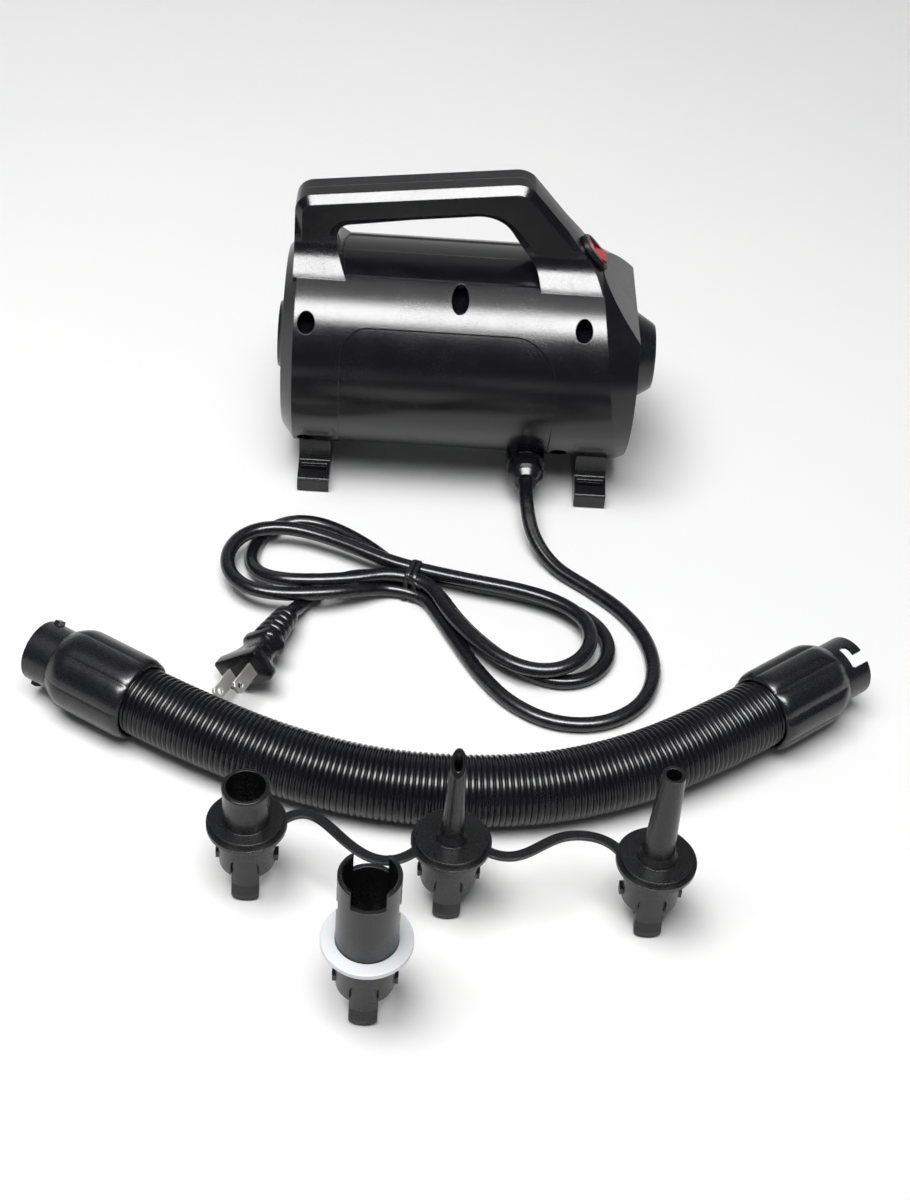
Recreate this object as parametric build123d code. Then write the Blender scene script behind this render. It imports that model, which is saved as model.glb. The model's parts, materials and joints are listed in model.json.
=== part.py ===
from build123d import *
import math
import os

# Electric air mattress pump: a clamshell barrel with a carrying handle, a universal motor and
# fan inside, its mains lead, and the loose hose, nozzles and valve adapter that belong to it.
# Millimetres. +X runs along the barrel towards the outlet, -Y is the front, +Z is up.
# The pump's feet, the lead, the hose and the loose fittings all stand on Z = 0.
# The origin is the bottom centre of the box round the pump and its loose fittings.

# ---- driving dimensions: the pump --------------------------------------------------------
PUMP_Y = 162.0            # the barrel's centre line, behind the origin
AXIS_Z = 62.0             # height of the barrel's axis
BARREL_R = 53.0
WALL = 3.0
LEFT_X = -91.0            # flat end of the barrel on the intake side
LEFT_BEVEL_X = -85.0
LEFT_FACE_R = 45.0
RIGHT_X = 84.0            # flat end of the barrel on the outlet side
NOSE_DROP = 3.6           # the tapered end's axis lies this far below the barrel's
NOSE_X = 64.0             # where the taper starts, along the top
NOSE_FALL = 0.4

STEP_R = BARREL_R - 0.7   # the shallow step of the panels
GRIP_HALF = 11.0          # half the grip's width, front to back
GRIP_CHAMFER = 3.6
HANDLE_LEFT_X = -87.0
SKIRT_TOP_Z = 127.5       # the legs start to widen below this
SKIRT_DEG = 65.5          # where the widening leg meets the barrel, from the horizontal
SLOPE_TOP = (24.0, 160.5)      # the switch slope's line, seen from the front
SLOPE_DEG = 48.6          # its fall towards the outlet

PORT_BORE_R = 14.25
PORT_R = 17.25
OUTLET_X = 95.5
INTAKE_X = -95.0
GROOVE_R = 15.9           # bottom of the bayonet grooves in the ports
GROOVE_L = 12.6           # how far in from the mouth the grooves reach
LUG_R = 15.6
LUG_L = 3.4

SCREW_SPOTS = [(-79.0, 96.5), (-5.2, 106.8), (55.5, 99.5), (-79.0, 27.0), (50.0, 27.0)]
SCREW_HEAD_R = 3.4
SCREW_R = 1.7
SCREW_WELL_R = 4.2

FOOT_W = 16.0
FOOT_HALF = 50.0          # half a foot bar's length, front to back
FOOT_XS = (-74.0, 68.0)
FOOT_SCREW_Y = 26.5
FOOT_SCREW_R = 1.5
FOOT_POST_TOP = 24.0      # the posts inside the casing that the foot screws bite into
PAD_T = 2.0

SWITCH_RUN = 53.0         # how far down the slope the switch's centre is
ROCKER_REST = 8.0         # the rocker's lower end stands up by this

GLAND_X = 34.0
GLAND_Z = 17.5
GLAND_R = 8.8
GLAND_TIP_Y = -54.0

# ---- driving dimensions: motor and fan ------------------------------------------------------
SHAFT_R = 4.0
BUSH_CLEARANCE = 0.03
SHAFT_X = (-75.0, 47.0)
CORE_X = (-22.0, 10.0)
CORE_R = 30.0
ARMATURE_R = 15.4
AIR_GAP = 0.5
COMMUTATOR_R = 11.0
COMMUTATOR_X = (20.0, 32.0)
IMPELLER_R = 41.0
IMPELLER_X = (-71.0, -56.0)
BLADES = 9
RIB_XS = (-30.0, 13.0)     # the casing ribs that hold the motor's rubber rings
RIB_T = 3.0
RING_R = 32.6
BRUSH_W = 6.0
BRUSH_L = 12.0
BRUSH_X = 26.0
BRUSH_TRAVEL = 3.0

# ---- driving dimensions: lead, hose and fittings ----------------------------------------------
CORD_D = 7.0
HOSE_D = 31.0
HOSE_BORE_R = 12.0
CUFF_R = 19.0
CUFF_L = 42.0
CUFF_GRIP = 20.0          # how far the hose goes into a cuff
CUFF_BORE_R = 12.5
SPIGOT_R = 14.0
SPIGOT_L = 14.0
FLANGE_Z = 36.0
NECK_R = 11.5
NECK_BORE_R = 9.5
RIM_Z = 14.0              # the neck's rim, between its two tongues
TONGUE_W = 11.2
NOZZLE_SPOTS = {"wide": (-82.0, -302.0), "pinch": (0.0, -306.0), "tapered": (82.0, -310.0)}
ADAPTER_SPOT = (-31.0, -359.2)
GASKET_R = 17.8

# Routes, in the pump's own frame: the lead from the gland round the hank's right lobe into it,
# the tail from the hank's left lobe to the plug, and the hose from cuff to cuff.
CORD_Z = CORD_D / 2 + 0.1
LEAD_ROUTE = [
    (GLAND_X, GLAND_TIP_Y, GLAND_Z),
    (GLAND_X, -71, GLAND_Z),
    (38, -88, 10),
    (49, -103, 4.2),
    (65, -115, CORD_Z),
    (81, -130, CORD_Z),
    (92, -149, CORD_Z),
    (95, -172, CORD_Z),
    (87.5, -193.5, CORD_Z),
    (69, -207, CORD_Z),
    (46, -208, CORD_Z),
    (26, -196.5, CORD_Z),
    (12, -178, CORD_Z),
    (2, -159, CORD_Z),
    (-6.5, -142, CORD_Z),
]
TAIL_ROUTE = [
    (-67.5, -131.5, CORD_Z),
    (-71.5, -139, 5.2),
    (-75.3, -147.5, 7.9),
    (-78, -154, 10.9),
]
PLUG_HEADING = 248.0      # direction of the blades in plan
PLUG_RISE = 3.0           # the blades point up by this
PLUG_ROLL = 38.0          # the plug lies on one corner of its block
HOSE_ROUTE = [
    (-153, -213, CUFF_R),
    (-103, -242, CUFF_R),
    (-45, -259.5, HOSE_D / 2 + 0.1),
    (7, -263, HOSE_D / 2 + 0.1),
    (56, -255, HOSE_D / 2 + 0.1),
    (107, -232.5, CUFF_R),
    (153, -197, CUFF_R),
]
TIE_SPOT = (-20.0, -119.0)
TIE_TURN = -15.0
# The hank's outline, a bow of two lobes, counted from the tie.
HANK_OUTLINE = [
    (-12, 14), (-38, 34), (-62, 46), (-84, 36), (-94, 10), (-88, -15), (-60, -25), (-32, -20),
    (-8, -15), (14, -26), (38, -54), (60, -69), (84, -67), (97, -46), (90, -21), (66, -6),
    (38, 3), (12, 11),
]
HANK_H = 15.5

NODES = {}


# ---- helpers ------------------------------------------------------------------------------
def turned(points, height=AXIS_Z):
    """A solid turned about the barrel's axis from (x, radius) points."""
    face = make_face(Plane.XZ * Polyline(*points, close=True))
    return Pos(0, 0, height) * revolve(face, Axis.X)


def along_x(radius, x0, x1, y=0.0, z=AXIS_Z):
    """A cylinder along X."""
    return Pos((x0 + x1) / 2, y, z) * Rot(0, 90, 0) * Cylinder(radius, x1 - x0)


def along_y(radius, y0, y1, x=0.0, z=AXIS_Z):
    """A cylinder along Y."""
    return Pos(x, (y0 + y1) / 2, z) * Rot(90, 0, 0) * Cylinder(radius, y1 - y0)


def upright(radius, z0, z1, x=0.0, y=0.0):
    """A cylinder along Z."""
    return Pos(x, y, (z0 + z1) / 2) * Cylinder(radius, z1 - z0)


def block(x0, x1, y0, y1, z0, z1):
    """A box from its corners."""
    return Pos((x0 + x1) / 2, (y0 + y1) / 2, (z0 + z1) / 2) * Box(x1 - x0, y1 - y0, z1 - z0)


def around_axis(shape, count, start=0.0):
    """Copies of a shape spaced evenly about the barrel's axis."""
    copies = []
    for index in range(count):
        turn = Pos(0, 0, AXIS_Z) * Rot(start + 360.0 * index / count, 0, 0) * Pos(0, 0, -AXIS_Z)
        copies.append(turn * shape)
    return copies


def fused(shapes):
    """One solid from several that touch."""
    total = shapes[0]
    for shape in shapes[1:]:
        total = total + shape
    return total


def cut(base, tools):
    """A shape with each tool taken away."""
    for tool in tools:
        base = base - tool
    return base


def slope_point(run, lift=0.0):
    """A point on the switch slope: run down it from its top, and lift outwards from it."""
    turn = math.radians(SLOPE_DEG)
    x = SLOPE_TOP[0] + run * math.cos(turn) + lift * math.sin(turn)
    z = SLOPE_TOP[1] - run * math.sin(turn) + lift * math.cos(turn)
    return x, z


def beyond_slope(inset):
    """All the space outside the plane of the switch slope, moved in by inset."""
    x, z = slope_point(60, 100 - inset)
    return Pos(x, 0, z) * Rot(0, SLOPE_DEG, 0) * Box(400, 400, 200)


def slope_cone(inset):
    """A cone about the barrel's axis that touches the switch slope along its middle."""
    fall = math.tan(math.radians(SLOPE_DEG))
    x, z = slope_point(0, -inset)
    radius = z - AXIS_Z
    reach = radius + (x + 200) * fall
    return turned([(-200, 0), (-200, reach), (x + radius / fall, 0)])


def barrel_skin(inset):
    """The barrel's closed outline, moved in by inset, with the switch slope cut across it."""
    body = turned([
        (LEFT_X + inset, 0),
        (LEFT_X + inset, LEFT_FACE_R - inset * 0.3),
        (LEFT_BEVEL_X + inset * 0.3, BARREL_R - inset),
        (RIGHT_X - inset, BARREL_R - inset),
        (RIGHT_X - inset, 0),
    ])
    nose_r = BARREL_R + NOSE_DROP - inset * math.hypot(1, NOSE_FALL)
    nose = turned([
        (-200, 0),
        (-200, nose_r + (200 + NOSE_X) * NOSE_FALL),
        (NOSE_X + nose_r / NOSE_FALL, 0),
    ], AXIS_Z - NOSE_DROP)
    return (body & nose) - beyond_slope(inset)


# ---- casing ---------------------------------------------------------------------------------
def handle_profile(inset):
    """The handle and switch housing seen from the front, moved in by inset."""
    outer = FilletPolyline(
        (HANDLE_LEFT_X + inset, AXIS_Z + 20),
        (HANDLE_LEFT_X + inset, 146.5 - inset),
        (SLOPE_TOP[0] - inset * 0.4, SLOPE_TOP[1] - inset),
        slope_point(72, -inset),
        (slope_point(72)[0] - inset, AXIS_Z + 20),
        radius=[6, 9, 12, 6, 4],
        close=True,
    )
    opening = FilletPolyline(
        (-52 - inset, AXIS_Z + 30),
        (-66.5 - inset, 121),
        (-66.5 - inset, 132.5 + inset),
        (11 + inset, 142.8 + inset),
        (31.5 + inset, 118),
        (39 + inset, AXIS_Z + 30),
        radius=[2, 14, 6, 20, 22, 2],
        close=True,
    )
    return make_face(Plane.XZ * outer) - make_face(Plane.XZ * opening)


def skirt(inset):
    """The handle's outline seen from the end: a narrow grip on legs that widen to the barrel."""
    radius = BARREL_R - inset
    y = radius * math.cos(math.radians(SKIRT_DEG))
    z = AXIS_Z + radius * math.sin(math.radians(SKIRT_DEG))
    half = GRIP_HALF - 0.3 - inset
    run_out = GRIP_CHAMFER + 0.4
    top_z = SKIRT_TOP_Z + 3 * run_out
    right = Curve() + [
        Line((0, AXIS_Z), (y, AXIS_Z)),
        Line((y, AXIS_Z), (y, z)),
        Spline((y, z), (half, SKIRT_TOP_Z), tangents=[(-0.6, 0.8, 0), (0, 1, 0)]),
        Line((half, SKIRT_TOP_Z), (half - run_out, top_z)),
        Line((half - run_out, top_z), (0, top_z)),
    ]
    face = make_face(right + mirror(right, Plane.YZ))
    return extrude(Plane.YZ * face, 120, both=True)


def handle_solid(inset):
    """The handle and switch housing, with the grip's long edges chamfered."""
    profile = handle_profile(inset)
    flat = GRIP_HALF - GRIP_CHAMFER
    grip = extrude(profile, flat, both=True)
    for side in (-1, 1):
        edge_face = Pos(0, side * flat, 0) * profile
        out = (0, side, 0)
        grip = grip + extrude(edge_face, GRIP_CHAMFER - inset, dir=out, taper=45)
    legs = extrude(profile, 70, both=True) & skirt(inset)
    return (grip + legs) & slope_cone(inset)


def casing_skin():
    """The casing's closed outer shape, both halves together."""
    skin = barrel_skin(0) + handle_solid(0)

    # The top between the legs is a step lower, with rounded ends.
    strip = extrude(make_face(Plane.XZ * FilletPolyline(
        (-67, 111.2), (-67, 125), (40, 125), (40, 111.2), radius=[5, 2, 2, 5], close=True)),
        30, both=True)
    ring = turned([(-68, STEP_R), (-68, 70), (41, 70), (41, STEP_R)])
    skin = skin - ((strip & ring) - handle_solid(0))

    # A shallow arch-topped panel on the front and on the back.
    arch = extrude(make_face(Plane.XZ * FilletPolyline(
        (-62, 13), (-62, 96), (44, 96), (44, 13), radius=[3, 13, 22, 3], close=True)),
        80, both=True)
    panel = turned([(-63, STEP_R), (-63, 70), (45, 70), (45, STEP_R)])
    skin = skin - (arch & panel)

    # The lead's boss under the front.
    return skin + along_y(9.8, -41, -22, GLAND_X, GLAND_Z)


def casing_room():
    """The room inside the casing, less the ribs that hold the motor's rubber rings."""
    vents = around_axis(along_x(6.5, -120, 120, 0, AXIS_Z + 41.3), 12, 15)
    barrel_room = barrel_skin(WALL)
    handle_room = handle_solid(WALL)
    for x in RIB_XS:
        rib = turned([(x, RING_R), (x, 60), (x + RIB_T, 60), (x + RIB_T, RING_R)])
        rib = cut(rib, vents)
        barrel_room = barrel_room - rib
        handle_room = handle_room - rib
    return barrel_room + handle_room


def casing_half(skin, room, front):
    """One half of the casing, with its posts, screw bosses and openings."""
    side = -1 if front else 1
    space = block(-120, 120, min(0, side * 90), max(0, side * 90), -20, 200)
    half_room = room & space
    for x, y in foot_screw_spots(side):
        half_room = half_room - upright(4, 5, FOOT_POST_TOP, x, y)
    for x, z in SCREW_SPOTS:
        boss_r = 5.6 if front else 4.2
        half_room = half_room - along_y(boss_r, min(0, side * 60), max(0, side * 60), x, z)
    half = (skin & space) - half_room
    for x, z in SCREW_SPOTS:
        if front:
            half = half - along_y(SCREW_WELL_R, -60, -9, x, z)
            half = half - along_y(SCREW_R + 0.3, -10, 1, x, z)
        else:
            half = half - along_y(SCREW_R - 0.2, -1, 14, x, z)
    for x, y in foot_screw_spots(side):
        half = half - upright(FOOT_SCREW_R, 8, FOOT_POST_TOP - 1, x, y)

    # Port holes in the two ends, the lead's way in, and the opening for the switch.
    half = half - along_x(PORT_R + 0.9, LEFT_X - 1, LEFT_X + WALL + 1)
    half = half - along_x(PORT_R + 0.9, RIGHT_X - WALL - 1, RIGHT_X + 1)
    if front:
        half = half - along_y(6.1, -42, -20, GLAND_X, GLAND_Z)
        half = half - along_y(7.9, -37, -33, GLAND_X, GLAND_Z)
        half = half - along_y(CORD_D / 2 + 0.1, -20.5, -10, GLAND_X, GLAND_Z)
    return half - on_slope(Box(15.2, 10.6, 36))


def casing_screws():
    """The screws that close the casing, put in from the front."""
    screws = []
    for x, z in SCREW_SPOTS:
        head = along_y(SCREW_HEAD_R, -12, -9, x, z) + along_y(SCREW_R, -9.5, 12, x, z)
        slot = block(x - 2.2, x + 2.2, -12.5, -11, z - 0.45, z + 0.45)
        cross = block(x - 0.45, x + 0.45, -12.5, -11, z - 2.2, z + 2.2)
        screws.append(head - slot - cross)
    return Compound(children=screws)


def on_slope(shape):
    """Puts a shape made about the switch's centre, with +X down the slope, onto the slope."""
    x, z = slope_point(SWITCH_RUN)
    return Pos(x, 0, z) * Rot(0, SLOPE_DEG, 0) * shape


def j_grooves(mouth_x, side):
    """Two bayonet grooves in a port's wall: in along the bore, then round a short way."""
    ring = turned([
        (mouth_x - side * GROOVE_L, PORT_BORE_R - 1), (mouth_x - side * GROOVE_L, GROOVE_R),
        (mouth_x + side, GROOVE_R), (mouth_x + side, PORT_BORE_R - 1)])
    leg = block(-120, 120, -2.8, 2.8, AXIS_Z, AXIS_Z + 30)
    grooves = [ring & piece for piece in around_axis(leg, 2, 90)]
    foot_start = mouth_x - side * (GROOVE_L - LUG_L - 0.6)
    foot_ring = turned([
        (mouth_x - side * GROOVE_L, PORT_BORE_R - 1), (mouth_x - side * GROOVE_L, GROOVE_R),
        (foot_start, GROOVE_R), (foot_start, PORT_BORE_R - 1)])
    for turn in (8, 16, 24):
        grooves += [foot_ring & piece for piece in around_axis(leg, 2, 90 + turn)]
    return grooves


def port(end_x, mouth_x, side, base):
    """A port ring held in the casing's end wall; side is +1 at the outlet, -1 at the intake."""
    def at(distance):
        return end_x + side * distance
    body = turned([
        (at(-7), PORT_BORE_R), (at(-7), PORT_R + 4), (at(-WALL - 0.1), PORT_R + 4),
        (at(-WALL - 0.1), PORT_R + 0.7), (at(0.1), PORT_R + 0.7), (at(0.1), PORT_R + base),
        (at(1.2), PORT_R + base), (mouth_x - side * 1.2, PORT_R),
        (mouth_x, PORT_R - 1.0), (mouth_x, PORT_BORE_R),
    ])
    return cut(body, j_grooves(mouth_x, side))


def intake_grille():
    """A round guard behind the intake: a rim, two rings and crossing bars."""
    x0 = LEFT_X + 7.2
    x1 = x0 + 2.0
    rings = []
    for outer, inner in ((21, 16.5), (11.5, 9.7), (5.4, 0)):
        disc = along_x(outer, x0, x1)
        if inner:
            disc = disc - along_x(inner, x0 - 1, x1 + 1)
        rings.append(disc)
    bars = around_axis(block(x0, x1, -1, 1, AXIS_Z + 4, AXIS_Z + 17.5), 6)
    return fused(rings + bars)


def foot(x):
    """A foot bar across the barrel's underside, with a sloped front and a narrower neck."""
    front = [(FOOT_HALF, PAD_T - 1), (FOOT_HALF, 7.2), (FOOT_HALF - 0.8, 8.2),
             (FOOT_HALF - 12, 11.5), (FOOT_HALF - 13.5, 14), (FOOT_HALF - 15, 40)]
    outline = [(-y, z) for y, z in front] + front[::-1]
    bar = extrude(make_face(Plane.YZ * Polyline(*outline, close=True)), FOOT_W / 2, both=True)
    for side in (-1, 1):
        facet = Pos(0, side * (FOOT_HALF - 6.4), 10.6) * Rot(side * 15.4, 0, 0) * Box(
            FOOT_W - 3, 9.6, 2)
        bar = bar - facet
    bar = Pos(x, 0, 0) * bar
    bar = bar - turned([(-100, 0), (-100, BARREL_R + 0.05), (100, BARREL_R + 0.05), (100, 0)])
    bar = bar - block(x - 5, x + 5, -FOOT_HALF + 16, FOOT_HALF - 16, 0, 5)
    for y in (-FOOT_SCREW_Y, FOOT_SCREW_Y):
        bar = bar - upright(3.6, 0, 8, x, y) - upright(1.9, 0, 30, x, y)
    for y in (-40, 40):
        bar = bar - block(x - 5.5, x + 5.5, y - 6.5, y + 6.5, 0, PAD_T)
    return bar


def foot_screw_spots(side):
    """Where the foot screws stand, in front (side -1) or behind (side +1)."""
    return [(x, side * FOOT_SCREW_Y) for x in FOOT_XS]


def foot_screws():
    """The screws that hold the feet, put in from below."""
    screws = []
    for x, y in foot_screw_spots(-1) + foot_screw_spots(1):
        screw = upright(3.2, 6, 8, x, y) + upright(FOOT_SCREW_R, 7.5, FOOT_POST_TOP - 2, x, y)
        screws.append(screw - block(x - 2, x + 2, y - 0.4, y + 0.4, 5.5, 6.8))
    return Compound(children=screws)


def foot_pads():
    """Rubber pads set into the undersides of the feet."""
    pads = []
    for x in FOOT_XS:
        for y in (-40, 40):
            pad = block(x - 5.4, x + 5.4, y - 6.4, y + 6.4, 0, PAD_T)
            pads.append(fillet(pad.edges().filter_by(Axis.Z), 1.5))
    return Compound(children=pads)


# ---- switch -----------------------------------------------------------------------------------
def oval(length, width, height, z0):
    """An upright round-ended block."""
    return Pos(0, 0, z0) * extrude(SlotOverall(length, width), height)


def switch_bezel():
    """The switch's oval rim and its case behind the panel."""
    rim = oval(21, 15, 2.4, 0.3)
    rim = chamfer(rim.edges().group_by(Axis.Z)[-1], 0.9)
    case = Pos(0, 0, -7.6) * Box(15, 10.4, 16)
    body = rim + case
    body = body - Pos(0, 0, 0.6) * Box(13.6, 8.8, 6.4)
    body = body - Pos(0, 0, -7.5) * Box(13, 8.4, 12)
    return on_slope(body)


def switch_rocker():
    """The rocker: a shallow V of two flats with finger ridges, tilted about its pivot."""
    half = 6.4
    profile = [(-half, -2.0), (-half, 3.2), (0, 1.6), (half, 3.2), (half, -2.0), (0, -4.6)]
    face = make_face(Plane.XZ * Polyline(*profile, close=True))
    body = extrude(face, 4.1, both=True)
    for x in (3.4, 4.5, 5.6):
        body = body - Pos(x, 0, 3.1) * Rot(0, -14, 0) * Box(0.4, 6.4, 0.6)
    body = body & Rot(90, 0, 0) * Cylinder(6.5, 20)
    return on_slope(Rot(0, -ROCKER_REST, 0) * body)


def switch_terminals():
    """Two blade terminals under the switch."""
    blades = []
    for x in (-4, 3.2):
        blades.append(on_slope(Pos(x, 0, -18.6) * Box(0.8, 4.8, 6)))
    return Compound(children=blades)


# ---- motor and fan ----------------------------------------------------------------------------
def field_core():
    """The laminated stator: a ring with two inward poles."""
    ring = along_x(CORE_R, *CORE_X) - along_x(CORE_R - 5, CORE_X[0] - 1, CORE_X[1] + 1)
    poles = block(CORE_X[0], CORE_X[1], -12, 12, AXIS_Z - CORE_R + 2, AXIS_Z + CORE_R - 2)
    bore = along_x(ARMATURE_R + AIR_GAP, CORE_X[0] - 1, CORE_X[1] + 1)
    round_bar = along_x(CORE_R - 1, *CORE_X)
    return ring + (poles & round_bar) - bore


def field_coils():
    """Two wound coils, one round each pole."""
    coils = []
    for side in (-1, 1):
        z0 = AXIS_Z + side * 19.0
        loop = Pos(0, 0, z0) * extrude(RectangleRounded(46, 37, 6), 2.4, both=True)
        hole = Pos(0, 0, z0) * extrude(Rectangle(33, 24.6), 6, both=True)
        middle = (CORE_X[0] + CORE_X[1]) / 2
        coil = Pos(middle, 0, 0) * (loop - hole)
        coils.append(coil & along_x(CORE_R - 5.4, -60, 60))
    return Compound(children=coils)


def end_bracket(face_x, tip_x, side, seat_r):
    """A motor end bracket: a rim on the core, arms, and a hub for the bush."""
    def at(distance):
        return face_x + side * distance
    depth = abs(tip_x - face_x)
    cup = turned([
        (at(0.05), CORE_R - 4.4), (at(0.05), CORE_R), (at(9), CORE_R), (at(depth - 7), seat_r),
        (at(depth), seat_r), (at(depth), SHAFT_R + 4), (at(depth - 10), SHAFT_R + 4),
        (at(depth - 10), seat_r - 3), (at(9), CORE_R - 4.4),
    ])
    windows = around_axis(
        block(min(at(8), at(depth - 9)), max(at(8), at(depth - 9)), -7, 7, AXIS_Z + 12, AXIS_Z + 40),
        4, 45)
    cup = cut(cup, windows)
    if side > 0:
        half = BRUSH_W / 2 + 1.25
        cup = cup - block(BRUSH_X - half, BRUSH_X + half, -half, half, AXIS_Z - 40, AXIS_Z + 40)
    return cup


def bush(x0, x1):
    """A plain bearing bush."""
    return along_x(SHAFT_R + 3.95, x0, x1) - along_x(SHAFT_R + BUSH_CLEARANCE, x0 - 1, x1 + 1)


def rubber_ring(x):
    """A rubber ring between a motor bracket and a casing rib."""
    ring = along_x(RING_R - 0.05, x - 1, x + RIB_T + 1)
    return ring - along_x(CORE_R + 0.05, x - 2, x + RIB_T + 2)


def armature_core():
    """The laminated rotor core with its slots."""
    core = along_x(ARMATURE_R, *CORE_X) - along_x(SHAFT_R, CORE_X[0] - 1, CORE_X[1] + 1)
    slot = block(CORE_X[0] - 1, CORE_X[1] + 1, -1.1, 1.1, AXIS_Z + 9, AXIS_Z + 20)
    return cut(core, around_axis(slot, 12))


def armature_windings():
    """The copper end turns each side of the rotor core, joined by wires in its slots."""
    left = turned([(-30, 5), (-30, 12), (-27, 14), (CORE_X[0], 14), (CORE_X[0], 5)])
    right = turned([(CORE_X[1], 5), (CORE_X[1], 14), (15, 14), (18, 12), (18, 5)])
    wire = block(CORE_X[0] - 0.5, CORE_X[1] + 0.5, -1.0, 1.0, AXIS_Z + 9.1, AXIS_Z + 14)
    return fused([left, right] + around_axis(wire, 12))


def commutator():
    """The commutator's copper bars on their moulded core."""
    drum = along_x(COMMUTATOR_R, *COMMUTATOR_X) - along_x(SHAFT_R, 0, 60)
    gap = block(COMMUTATOR_X[0] + 2, COMMUTATOR_X[1] + 1, -0.2, 0.2, AXIS_Z + 9.6, AXIS_Z + 12)
    return cut(drum, around_axis(gap, 24))


def impeller():
    """The fan: a back plate, curved blades and a front ring with an open eye."""
    x0, x1 = IMPELLER_X
    plate = along_x(IMPELLER_R, x1 - 2, x1)
    hub = along_x(8, x0 + 2, x1)
    front = turned([(x0, 17), (x0, 19.5), (x0 + 3.5, IMPELLER_R), (x0 + 5, IMPELLER_R),
                    (x0 + 1.6, 17)])
    blade_face = Plane.YZ * trace(ThreePointArc((8, 0), (25, 5), (IMPELLER_R - 0.6, 17)), 1.4)
    blade = Pos(x0 + 1.6, 0, AXIS_Z) * extrude(blade_face, x1 - x0 - 2)
    room = turned([(x1, 0), (x1, IMPELLER_R), (x0 + 5, IMPELLER_R), (x0 + 1.6, 17),
                   (x0 + 1.6, 0)])
    blades = [piece & room for piece in around_axis(blade, BLADES)]
    wheel = fused([plate, hub, front] + blades)
    return wheel - along_x(SHAFT_R, -100, 0)


def impeller_nut():
    """The nut that holds the fan on the shaft."""
    nut = Pos(IMPELLER_X[0] - 1.0, 0, AXIS_Z) * Rot(0, 90, 0) * extrude(
        RegularPolygon(6.2, 6), 3, both=False)
    return nut - along_x(SHAFT_R, -100, 0)


def shaft():
    """The rotor's shaft."""
    bar = along_x(SHAFT_R, *SHAFT_X)
    return chamfer(bar.edges(), 0.6)


def diffuser():
    """The fixed plate behind the fan, with return vanes and a ring of air holes."""
    plate = along_x(49.6, -53.6, -51.2) - along_x(17, -60, -40)
    vane_face = Plane.YZ * trace(ThreePointArc((20, 0), (32, -7), (46, -8)), 1.4)
    vane = Pos(-51.6, 0, AXIS_Z) * extrude(vane_face, 6)
    holes = around_axis(along_x(5.2, -56, -48, 0, AXIS_Z + 43), 14)
    return fused([cut(plate, holes)] + around_axis(vane, 7))


def fan_shroud():
    """The ring that leads the air from the intake into the fan's eye."""
    ring = turned([(-73.3, 16.6), (-73.3, 49.6), (-71.8, 49.6), (-71.8, 19), (-71.2, 16.6)])
    spots = foot_screw_spots(-1) + foot_screw_spots(1)
    return cut(ring, [upright(4.2, 0, FOOT_POST_TOP + 1, x, y) for x, y in spots])


def brush_holder(side):
    """A square brass tube that guides one brush."""
    z0 = AXIS_Z + side * (COMMUTATOR_R + 2.2)
    z1 = AXIS_Z + side * 33.5
    low, high = min(z0, z1), max(z0, z1)
    half = BRUSH_W / 2
    tube = block(BRUSH_X - half - 1.2, BRUSH_X + half + 1.2, -half - 1.2, half + 1.2, low, high)
    return tube - block(BRUSH_X - half - 0.1, BRUSH_X + half + 0.1, -half - 0.1, half + 0.1,
                        low - 1 if side > 0 else low + 1, high - 1 if side > 0 else high + 1)


def brush(side):
    """One carbon brush on the commutator."""
    near = COMMUTATOR_R + 0.15
    z0 = AXIS_Z + side * near
    z1 = AXIS_Z + side * (near + BRUSH_L)
    half = BRUSH_W / 2
    bar = block(BRUSH_X - half, BRUSH_X + half, -half, half, min(z0, z1), max(z0, z1))
    return bar - along_x(COMMUTATOR_R + 0.05, 0, 60)


def brush_spring(side):
    """The coil spring behind a brush, as a stack of rings on a core."""
    z0 = AXIS_Z + side * (COMMUTATOR_R + 0.2 + BRUSH_L)
    z1 = AXIS_Z + side * 32.4
    low, high = min(z0, z1), max(z0, z1)
    body = upright(1.9, low, high, BRUSH_X)
    turns = 5
    for index in range(turns):
        z = low + (high - low) * (index + 0.5) / turns
        body = body + Pos(BRUSH_X, 0, z) * Torus(1.9, 0.45)
    return body


def suppressor():
    """The interference capacitor beside the switch leads."""
    body = block(20, 36, 34, 42, AXIS_Z + 4, AXIS_Z + 20)
    return fillet(body.edges(), 1.2)


# ---- lead ---------------------------------------------------------------------------------------
def route_path(name, points):
    """Straight runs joined by arcs as large as the runs allow; prints the radii."""
    places = [Vector(*point) for point in points]
    radii = []
    for before, here, after in zip(places, places[1:], places[2:]):
        shorter = min((here - before).length, (after - here).length)
        turn = math.radians((here - before).get_angle(after - here))
        radii.append(0.45 * shorter / math.tan(turn / 2))
    print(name, "radii", [round(radius) for radius in radii])
    return FilletPolyline(*points, radius=radii)


def tube(name, points, outer_d, bore_d=0.0):
    """A round tube along a route; prints its volume beside section times length."""
    path = route_path(name, points)
    start = Plane(origin=points[0], z_dir=path % 0)
    section = Circle(outer_d / 2)
    area = math.pi * outer_d ** 2 / 4
    if bore_d:
        section = section - Circle(bore_d / 2)
        area -= math.pi * bore_d ** 2 / 4
    solid = sweep(start * section, path=path)
    print(name, "length", round(path.length, 1), "volume", round(solid.volume),
          "expected", round(area * path.length))
    return solid


def hank():
    """The tied hank of lead, as one closed solid of its outer shape."""
    outline = make_face(Spline(*HANK_OUTLINE, periodic=True))
    body = extrude(outline, HANK_H)
    body = chamfer(body.edges().group_by(Axis.Z)[-1], 3.5)
    return Pos(TIE_SPOT[0], TIE_SPOT[1], 0.4) * body


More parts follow.
